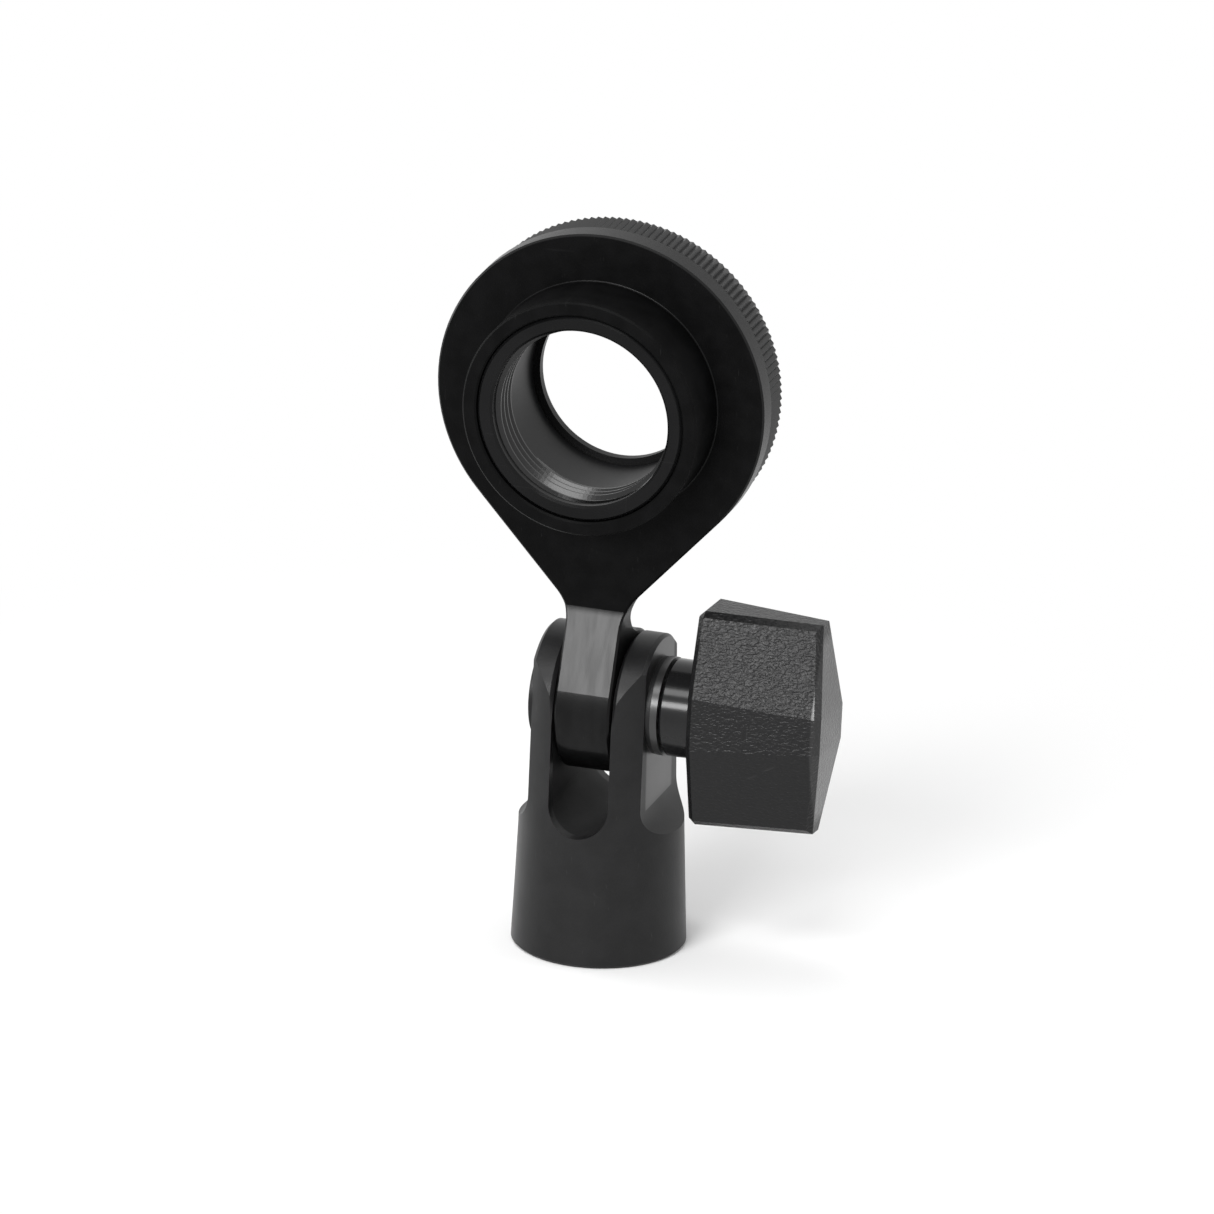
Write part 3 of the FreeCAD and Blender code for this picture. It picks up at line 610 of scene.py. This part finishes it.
class ThreadTree:
    """Geometry node tree that winds a thread's turns round an upright axis."""

    INPUTS = {"Steps": 600, "Turns": 4.0, "Lead": 1.27 * MM,
              "Root Radius": 13.05 * MM, "Crest Radius": 12.5 * MM,
              "Root Width": 1.1 * MM, "Crest Width": 0.25 * MM, "Fade Turns": 0.5}
    ROWS = 5
    ROW_MARGIN = 0.1

    def __init__(self) -> None:
        """Build the tree with its named inputs."""
        self.tree = bpy.data.node_groups.new("thread_turns", "GeometryNodeTree")
        for label, value in self.INPUTS.items():
            kind = "NodeSocketInt" if isinstance(value, int) else "NodeSocketFloat"
            socket = self.tree.interface.new_socket(label, in_out="INPUT", socket_type=kind)
            socket.default_value = value
        self.tree.interface.new_socket("Finish", in_out="INPUT", socket_type="NodeSocketMaterial")
        self.tree.interface.new_socket("Geometry", in_out="OUTPUT", socket_type="NodeSocketGeometry")
        self.build()

    def on_rows(self, sheet: NodeSheet, row: bpy.types.NodeSocket, first: float,
                second: float) -> bpy.types.NodeSocket:
        """Mark two rows of the thread's section.

        Args:
            sheet: Sheet of the tree.
            row: Number of each point's row.
            first: One marked row.
            second: The other marked row.

        Returns:
            Socket that is one on those rows and nought on the others.
        """
        return sheet.math("ADD", sheet.math("COMPARE", row, first, self.ROW_MARGIN),
                          sheet.math("COMPARE", row, second, self.ROW_MARGIN))

    def build(self) -> None:
        """Lay a grid whose rows go round the thread's section and whose columns go along the helix."""
        sheet = NodeSheet(self.tree)
        given = sheet.add("NodeGroupInput").outputs
        grid = sheet.add("GeometryNodeMeshGrid")
        sheet.feed(grid.inputs["Vertices X"], given["Steps"])
        grid.inputs["Vertices Y"].default_value = self.ROWS
        index = sheet.add("GeometryNodeInputIndex").outputs[0]
        row = sheet.math("MODULO", index, float(self.ROWS))
        column = sheet.math("FLOOR", sheet.math("DIVIDE", sheet.math("ADD", index, 0.5), float(self.ROWS)))
        along = sheet.math("DIVIDE", column, sheet.math("SUBTRACT", given["Steps"], 1.0))
        crest = self.on_rows(sheet, row, 1.0, 2.0)
        far = self.on_rows(sheet, row, 2.0, 3.0)
        turns = sheet.math("MULTIPLY", along, given["Turns"])
        left = sheet.math("SUBTRACT", given["Turns"], turns)
        end = sheet.math("MINIMUM", turns, left)
        fade = sheet.math("MINIMUM", 1.0, sheet.math("DIVIDE", end, given["Fade Turns"]))
        rise = sheet.math("MULTIPLY", crest, fade)
        depth = sheet.math("SUBTRACT", given["Crest Radius"], given["Root Radius"])
        radius = sheet.math("MULTIPLY_ADD", rise, depth, given["Root Radius"])
        width = sheet.mix_value(crest, given["Root Width"], given["Crest Width"])
        side = sheet.math("SUBTRACT", far, 0.5)
        lift = sheet.math("MULTIPLY_ADD", side, width, sheet.math("MULTIPLY", turns, given["Lead"]))
        angle = sheet.math("MULTIPLY", turns, 2 * math.pi)
        spot = sheet.add("ShaderNodeCombineXYZ")
        sheet.feed(spot.inputs[0], sheet.math("MULTIPLY", radius, sheet.math("COSINE", angle)))
        sheet.feed(spot.inputs[1], sheet.math("MULTIPLY", radius, sheet.math("SINE", angle)))
        sheet.feed(spot.inputs[2], lift)
        wound = sheet.add("GeometryNodeSetPosition")
        sheet.feed(wound.inputs["Geometry"], grid.outputs["Mesh"])
        sheet.feed(wound.inputs["Position"], spot.outputs[0])
        closed = sheet.add("GeometryNodeMergeByDistance")
        sheet.feed(closed.inputs["Geometry"], wound.outputs[0])
        closed.inputs["Distance"].default_value = WELD_REACH
        whole = sheet.add("GeometryNodeRealizeInstances")
        sheet.feed(whole.inputs[0], closed.outputs[0])
        painted = sheet.add("GeometryNodeSetMaterial")
        sheet.feed(painted.inputs["Geometry"], whole.outputs[0])
        sheet.feed(painted.inputs["Material"], given["Finish"])
        sheet.feed(sheet.add("NodeGroupOutput").inputs[0], painted.outputs[0])

    def wind(self, name: str, values: dict[str, float | int], material: bpy.types.Material,
             place: Matrix, inside: bool) -> bpy.types.Object:
        """Make one thread as a plain mesh in its place.

        Args:
            name: Name of the new piece.
            values: Tree inputs that differ from the usual ones.
            material: Its finish.
            place: Matrix from the upright helix to the frame.
            inside: True where the turns stand inwards from a bore's wall.

        Returns:
            The new object, at the origin.
        """
        holder = bpy.data.objects.new(name + "_source", bpy.data.meshes.new(name + "_source"))
        bpy.context.scene.collection.objects.link(holder)
        modifier = holder.modifiers.new("turns", "NODES")
        modifier.node_group = self.tree
        sockets = {item.name: item.identifier for item in self.tree.interface.items_tree
                   if item.in_out == "INPUT"}
        for label, value in {**self.INPUTS, **values}.items():
            modifier[sockets[label]] = value
        modifier[sockets["Finish"]] = material
        seen = holder.evaluated_get(bpy.context.evaluated_depsgraph_get())
        mesh = bpy.data.meshes.new_from_object(seen)
        mesh.name = name
        mesh.transform(place)
        if inside:
            mesh.flip_normals()
        holder.modifiers.remove(modifier)
        bpy.data.objects.remove(holder)
        piece = bpy.data.objects.new(name, mesh)
        bpy.context.scene.collection.objects.link(piece)
        log.info("piece %s with %d faces", name, len(mesh.polygons))
        return piece


@dataclass
class StandBase:
    """Turned base with its thread insert, captive nut and friction washers."""

    thread_mouth: float = 0.5 * MM
    stand_thread_radius: float = 7.94 * MM
    stand_thread_depth: float = 0.56 * MM
    stand_thread_lead: float = INCH / 27
    root_share: float = 0.94
    crest_share: float = 0.16
    steps_a_turn: int = 72
    embed: float = 0.03 * MM

    def dress(self, effects: Effects) -> bpy.types.Material:
        """Put the finishes on the base's CAD nodes.

        Args:
            effects: The shared node groups.

        Returns:
            The brass finish, for the thread.
        """
        coat = BaseFinish("satin_black_coat", (0.009, 0.009, 0.0093), 0.36, grain_scale=5200.0,
                          grain_depth=0.006 * MM, specular=0.2, tone_shift=0.12)
        brass = Finish("turned_brass", (0.55, 0.40, 0.17), 0.28, Grain.TURNED, metallic=1.0,
                       grain_depth=0.004 * MM, specular=0.5, scratch_colour=(0.75, 0.6, 0.32))
        steel = Finish("zinc_plated_steel", (0.30, 0.30, 0.31), 0.36, Grain.TURNED, axis=Axis.X,
                       centre=(0.0, 0.0, self.pivot_height()), metallic=1.0,
                       grain_depth=0.003 * MM, specular=0.5)
        nylon = Finish("black_nylon", (0.018, 0.018, 0.018), 0.5, grain_depth=0.004 * MM, specular=0.2)
        metal = brass.build(effects)
        dress("swivel_base", coat.build(effects))
        dress("stand_thread_insert", metal)
        dress("clamp_nut", steel.build(effects))
        washers = nylon.build(effects)
        dress("left_friction_washer", washers)
        dress("right_friction_washer", washers)
        return metal

    def pivot_height(self) -> float:
        """Find the height of the clamp axis, read from the nut."""
        low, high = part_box("clamp_nut")
        return (low.z + high.z) / 2

    def wind_thread(self, threads: ThreadTree, material: bpy.types.Material) -> None:
        """Cut the stand thread's turns in the brass insert.

        Args:
            threads: The thread tree.
            material: Finish of the turns.
        """
        low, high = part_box("stand_thread_insert")
        start = low.z + self.thread_mouth + self.stand_thread_lead / 2
        room = high.z - start - self.stand_thread_lead / 2
        turns = room / self.stand_thread_lead
        values = {"Steps": int(turns * self.steps_a_turn), "Turns": turns, "Lead": self.stand_thread_lead,
                  "Root Radius": self.stand_thread_radius + self.embed,
                  "Crest Radius": self.stand_thread_radius - self.stand_thread_depth,
                  "Root Width": self.root_share * self.stand_thread_lead,
                  "Crest Width": self.crest_share * self.stand_thread_lead}
        turned = threads.wind("stand_thread_turns", values, material,
                              Matrix.Translation((0.0, 0.0, start)), True)
        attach(turned, "base")


@dataclass
class TiltingHead:
    """Teardrop plate with its collar, and the washer behind it."""

    neck_top: float = 52.2 * MM
    ring_height: float = 83.6 * MM
    rim_radius: float = 24.1 * MM
    collar_radius: float = 17.38 * MM
    plate_front: float = 5.2 * MM
    fillet: float = 0.16 * MM
    fillet_steps: int = 6
    fillet_turns: int = 160
    embed: float = 0.03 * MM

    def dress(self, effects: Effects) -> None:
        """Put the finishes on the head's CAD nodes.

        Args:
            effects: The shared node groups.
        """
        coat = HeadFinish("matt_black_coat", (0.0022, 0.0022, 0.0023), 0.42, grain_scale=6000.0,
                          grain_depth=0.006 * MM, specular=0.05, coat=0.22, coat_roughness=0.15,
                          tone_shift=0.3, neck_top=self.neck_top, ring_height=self.ring_height,
                          rim_radius=self.rim_radius)
        nylon = Finish("thin_black_washer", (0.01, 0.01, 0.01), 0.5, grain_depth=0.004 * MM, specular=0.15)
        dress("holder_head", coat.build(effects))
        dress("slide_washer", nylon.build(effects))
        foot = Finish("collar_foot_coat", (0.004, 0.004, 0.0042), 0.28, grain_scale=6000.0,
                      grain_depth=0.004 * MM, specular=0.1)
        self.build_fillet(foot.build(effects))

    def fillet_section(self) -> list[tuple[float, float]]:
        """Draw the section of the rounding at the collar's foot.

        Returns:
            Its corners in order, each as the radius and the distance to the front.
        """
        inner, wall = self.collar_radius - self.embed, self.plate_front - self.embed
        section = [(inner, wall), (self.collar_radius + self.fillet, wall)]
        for step in range(self.fillet_steps + 1):
            turn = math.pi / 2 * step / self.fillet_steps
            section.append((self.collar_radius + self.fillet * (1.0 - math.sin(turn)),
                            self.plate_front + self.fillet * (1.0 - math.cos(turn))))
        section.append((inner, self.plate_front + self.fillet))
        return section

    def build_fillet(self, material: bpy.types.Material) -> None:
        """Make the small hollow rounding where the collar stands on the plate.

        Args:
            material: Finish of the rounding.
        """
        section = self.fillet_section()
        points, faces = [], []
        for turn in range(self.fillet_turns):
            angle = 2 * math.pi * turn / self.fillet_turns
            points += [(radius * math.cos(angle), -front, self.ring_height + radius * math.sin(angle))
                       for radius, front in section]
        count = len(section)
        for turn in range(self.fillet_turns):
            here, after = turn * count, (turn + 1) % self.fillet_turns * count
            for step in range(count):
                beside = (step + 1) % count
                faces.append((here + step, after + step, after + beside, here + beside))
        mesh = bpy.data.meshes.new("collar_foot_rounding")
        mesh.from_pydata(points, [], faces)
        form = bmesh.new()
        form.from_mesh(mesh)
        bmesh.ops.recalc_face_normals(form, faces=form.faces)
        for face in form.faces:
            face.smooth = True
        form.to_mesh(mesh)
        form.free()
        mesh.materials.append(material)
        piece = bpy.data.objects.new("collar_foot_rounding", mesh)
        bpy.context.scene.collection.objects.link(piece)
        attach(piece, "head")
        log.info("piece collar_foot_rounding")


@dataclass
class MicrophoneRing:
    """Knurled threaded ring with the retaining ring on its front end."""

    bore_radius: float = 13.0 * MM
    flange_start: float = 22.0 * MM
    thread_depth: float = 0.62 * MM
    thread_lead: float = 1.4 * MM
    thread_turns: float = 4.4
    thread_start: float = 0.5 * MM
    root_share: float = 0.9
    crest_share: float = 0.18
    steps_a_turn: int = 120
    embed: float = 0.04 * MM

    def centre(self) -> Vector:
        """Find the middle of the ring's box."""
        low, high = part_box("threaded_ring")
        return (low + high) / 2

    def dress(self, effects: Effects) -> bpy.types.Material:
        """Put the finishes on the ring's CAD nodes.

        Args:
            effects: The shared node groups.

        Returns:
            The finish of the cut thread.
        """
        middle = tuple(self.centre())
        turned = RimFinish("turned_black_ring", (0.006, 0.006, 0.0062), 0.3, Grain.TURNED, axis=Axis.Y,
                           centre=middle, grain_depth=0.004 * MM, specular=0.12, coat_roughness=0.25,
                           ring_height=middle[2], rim_radius=self.flange_start, rim_coat=0.22)
        keeper = Finish("polished_black_ring", (0.004, 0.004, 0.0042), 0.22, Grain.TURNED, axis=Axis.Y,
                        centre=middle, grain_depth=0.003 * MM, specular=0.12)
        flanks = Finish("cut_thread_flanks", (0.005, 0.005, 0.0052), 0.22, Grain.TURNED, axis=Axis.Y,
                        centre=middle, grain_depth=0.004 * MM, specular=0.4)
        dress("threaded_ring", turned.build(effects))
        dress("retaining_ring", keeper.build(effects))
        return flanks.build(effects)

    def wind_thread(self, threads: ThreadTree, material: bpy.types.Material) -> None:
        """Cut the microphone thread's few turns at the front of the bore.

        Args:
            threads: The thread tree.
            material: Finish of the turns.
        """
        low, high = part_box("threaded_ring")
        middle = self.centre()
        start = low.y + self.thread_start
        values = {"Steps": int(self.thread_turns * self.steps_a_turn), "Turns": self.thread_turns,
                  "Lead": self.thread_lead, "Root Radius": self.bore_radius + self.embed,
                  "Crest Radius": self.bore_radius - self.thread_depth,
                  "Root Width": self.root_share * self.thread_lead,
                  "Crest Width": self.crest_share * self.thread_lead}
        place = Matrix.Translation((middle.x, start, middle.z)) @ Matrix.Rotation(-math.pi / 2, 4, "X")
        turned = threads.wind("microphone_thread_turns", values, material, place, True)
        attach(turned, "ring")


@dataclass
class ClampKnob:
    """Moulded knob with its stud and pressure washer."""

    hub_length: float = 4.3 * MM
    cap_start: float = 32.6 * MM
    edge_width: float = 0.42 * MM
    edge_steps: int = 3
    edge_profile: float = 0.5
    flat_angle: float = math.radians(1.0)
    edge_angle: float = math.radians(12.0)
    sharp_angle: float = math.radians(35.0)

    def dress(self, effects: Effects) -> None:
        """Put the finishes on the knob's CAD nodes.

        Args:
            effects: The shared node groups.
        """
        low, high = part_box("knob")
        grip = KnobFinish("grained_black_plastic", (0.0085, 0.0085, 0.0088), 0.28, Grain.LEATHER,
                          grain_scale=2700.0, grain_depth=0.07 * MM, stretch=(0.55, 1.0, 1.0), specular=0.2,
                          coat=0.09, coat_roughness=0.2, tone_shift=0.08, hub_end=low.x + self.hub_length,
                          cap_start=self.cap_start)
        middle = (0.0, 0.0, (low.z + high.z) / 2)
        washer = Finish("black_steel_washer", (0.02, 0.02, 0.02), 0.28, Grain.TURNED, axis=Axis.X,
                        centre=middle, grain_depth=0.003 * MM, specular=0.5)
        stud = Finish("bright_steel_stud", (0.34, 0.34, 0.35), 0.32, Grain.TURNED, axis=Axis.X,
                      centre=middle, metallic=1.0, grain_depth=0.003 * MM, specular=0.5)
        plastic = grip.build(effects)
        dress("knob", plastic)
        self.round_edges(plastic, low.x + self.hub_length)
        dress("pressure_washer", washer.build(effects))
        dress("clamp_stud", stud.build(effects))

    def round_edges(self, material: bpy.types.Material, grip_start: float) -> None:
        """Make the moulded knob with rounded edges on its grip, in place of the plain one.

        Args:
            material: Finish of the knob.
            grip_start: Where the grip begins along the clamp axis.
        """
        form = bmesh.new()
        form.from_mesh(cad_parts["knob"].data)
        bmesh.ops.remove_doubles(form, verts=form.verts, dist=WELD_REACH)
        bmesh.ops.dissolve_limit(form, angle_limit=self.flat_angle, verts=form.verts, edges=form.edges)
        edges = [edge for edge in form.edges if edge.is_manifold and edge.calc_face_angle() > self.edge_angle
                 and all(point.co.x > grip_start + self.edge_width for point in edge.verts)]
        bmesh.ops.bevel(form, geom=edges, offset=self.edge_width, segments=self.edge_steps,
                        profile=self.edge_profile, affect="EDGES", clamp_overlap=True)
        for edge in form.edges:
            edge.smooth = not edge.is_manifold or edge.calc_face_angle() < self.sharp_angle
        for face in form.faces:
            face.smooth = True
        mesh = bpy.data.meshes.new("knob_rounded")
        form.to_mesh(mesh)
        form.free()
        mesh.materials.clear()
        mesh.materials.append(material)
        piece = bpy.data.objects.new("knob_rounded", mesh)
        bpy.context.scene.collection.objects.link(piece)
        piece.modifiers.new("even_shading", "WEIGHTED_NORMAL").keep_sharp = True
        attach(piece, "knob")
        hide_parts("knob")
        log.info("piece knob_rounded with %d faces", len(mesh.polygons))


@dataclass
class Softbox:
    """One area lamp that looks at the object."""

    name: str
    place: tuple[float, float, float]
    size: tuple[float, float]
    radiance: float

    def build(self, aim: Vector) -> None:
        """Make the lamp and turn it to the object.

        Args:
            aim: Point that it looks at.
        """
        lamp = bpy.data.lights.new(self.name, "AREA")
        lamp.shape = "RECTANGLE"
        lamp.size, lamp.size_y = self.size
        lamp.energy = self.radiance * math.pi * self.size[0] * self.size[1]
        holder = bpy.data.objects.new(self.name, lamp)
        holder.location = self.place
        holder.rotation_euler = (aim - Vector(self.place)).to_track_quat("-Z", "Y").to_euler()
        bpy.context.scene.collection.objects.link(holder)


@dataclass
class Studio:
    """Floor, world, lamps and the camera at the photograph's angle."""

    azimuth: float = math.radians(18.261)
    elevation: float = math.radians(20.845)
    roll: float = math.radians(1.412)
    distance: float = 3.1609
    focal_pixels: float = 22324.8
    aim: tuple[float, float, float] = (0.056 * MM, 0.0, 50.308 * MM)
    floor_side: float = 6.0
    floor_tone: float = 0.8
    shadow_start: float = 0.03
    shadow_end: float = 0.16
    ambient: float = 0.5

    def softboxes(self) -> list[Softbox]:
        """List the lamps, all soft and plain.

        Returns:
            The softboxes round the object.
        """
        return [
            Softbox("front_softbox", (-0.13, -0.73, 0.355), (0.36, 0.17), 23.0),
            Softbox("high_softbox", (-0.04, -0.5, 0.72), (0.5, 0.22), 9.0),
            Softbox("top_softbox", (-0.19, 0.05, 0.84), (0.36, 0.5), 3.4),
            Softbox("right_softbox", (0.72, 0.22, 0.35), (0.4, 0.6), 3.0),
            Softbox("left_softbox", (-0.75, 0.15, 0.25), (0.3, 0.7), 2.6),
        ]

    def white_rays(self, sheet: NodeSheet) -> bpy.types.NodeSocket:
        """Tell the rays that see white from the others.

        Args:
            sheet: Sheet of the tree that asks.

        Returns:
            Socket that is one for camera, glossy and transmission rays.
        """
        path = sheet.add("ShaderNodeLightPath").outputs
        seen = sheet.math("MAXIMUM", path["Is Camera Ray"], path["Is Glossy Ray"])
        return sheet.math("MAXIMUM", seen, path["Is Transmission Ray"])

    def make_world(self) -> None:
        """Make a world that is white where it is seen, and a soft grey light."""
        world = bpy.data.worlds.new("studio")
        bpy.context.scene.world = world
        world.use_nodes = True
        sheet = NodeSheet(world.node_tree)
        background = world.node_tree.nodes["Background"]
        sheet.feed(background.inputs["Color"], (1.0, 1.0, 1.0, 1.0))
        sheet.feed(background.inputs["Strength"], sheet.mix_value(self.white_rays(sheet), self.ambient, 1.0))

    def make_floor(self) -> None:
        """Make a pale floor that keeps the object's shadow and turns white away from it."""
        half = self.floor_side / 2
        mesh = bpy.data.meshes.new("floor")
        mesh.from_pydata([(-half, -half, 0.0), (half, -half, 0.0), (half, half, 0.0), (-half, half, 0.0)], [],
                         [(0, 1, 2, 3)])
        floor = bpy.data.objects.new("floor", mesh)
        bpy.context.scene.collection.objects.link(floor)
        material = bpy.data.materials.new("pale_floor")
        material.use_nodes = True
        tree = material.node_tree
        sheet = NodeSheet(tree)
        tree.nodes.remove(tree.nodes["Principled BSDF"])
        paint = sheet.add("ShaderNodeBsdfDiffuse")
        paint.inputs["Color"].default_value = (self.floor_tone, self.floor_tone, self.floor_tone, 1.0)
        glow = sheet.add("ShaderNodeEmission")
        spot = sheet.add("ShaderNodeTexCoord")
        length = sheet.add("ShaderNodeVectorMath", operation="LENGTH")
        sheet.feed(length.inputs[0], spot.outputs["Object"])
        away = sheet.remap(length.outputs["Value"], self.shadow_start, self.shadow_end)
        mixed = sheet.add("ShaderNodeMixShader")
        sheet.feed(mixed.inputs[0], sheet.math("MULTIPLY", away, self.white_rays(sheet)))
        sheet.feed(mixed.inputs[1], paint.outputs[0])
        sheet.feed(mixed.inputs[2], glow.outputs[0])
        sheet.feed(tree.nodes["Material Output"].inputs["Surface"], mixed.outputs[0])
        mesh.materials.append(material)

    def make_camera(self) -> None:
        """Put the camera where the photograph was taken from, with a very long lens."""
        across, rise = self.azimuth, self.elevation
        back = Vector((math.sin(across) * math.cos(rise), -math.cos(across) * math.cos(rise), math.sin(rise)))
        right = Vector((math.cos(across), math.sin(across), 0.0))
        up = back.cross(right)
        turned_right = right * math.cos(self.roll) + up * math.sin(self.roll)
        turned_up = up * math.cos(self.roll) - right * math.sin(self.roll)
        data = bpy.data.cameras.new("camera")
        data.sensor_width = SENSOR_WIDTH_MM
        data.lens = self.focal_pixels / IMAGE_PIXELS * SENSOR_WIDTH_MM
        camera = bpy.data.objects.new("camera", data)
        place = Matrix((turned_right, turned_up, back)).transposed().to_4x4()
        place.translation = Vector(self.aim) + back * self.distance
        camera.matrix_world = place
        bpy.context.scene.collection.objects.link(camera)
        bpy.context.scene.camera = camera

    def build(self) -> None:
        """Set up everything round the object."""
        self.make_world()
        self.make_floor()
        for box in self.softboxes():
            box.build(Vector(self.aim))
        self.make_camera()
        bpy.context.scene.view_settings.view_transform = "Standard"


def main() -> None:
    """Build the looks sub-assembly by sub-assembly."""
    logging.basicConfig(level=logging.INFO, format="%(name)s: %(message)s")
    effects = Effects(make_cast_grain(), make_leather_grain(), make_turned_lines(), make_handling())
    threads = ThreadTree()
    base = StandBase()
    base.wind_thread(threads, base.dress(effects))
    TiltingHead().dress(effects)
    ring = MicrophoneRing()
    ring.wind_thread(threads, ring.dress(effects))
    ClampKnob().dress(effects)
    Studio().build()


if __name__ == "__main__":
    main()
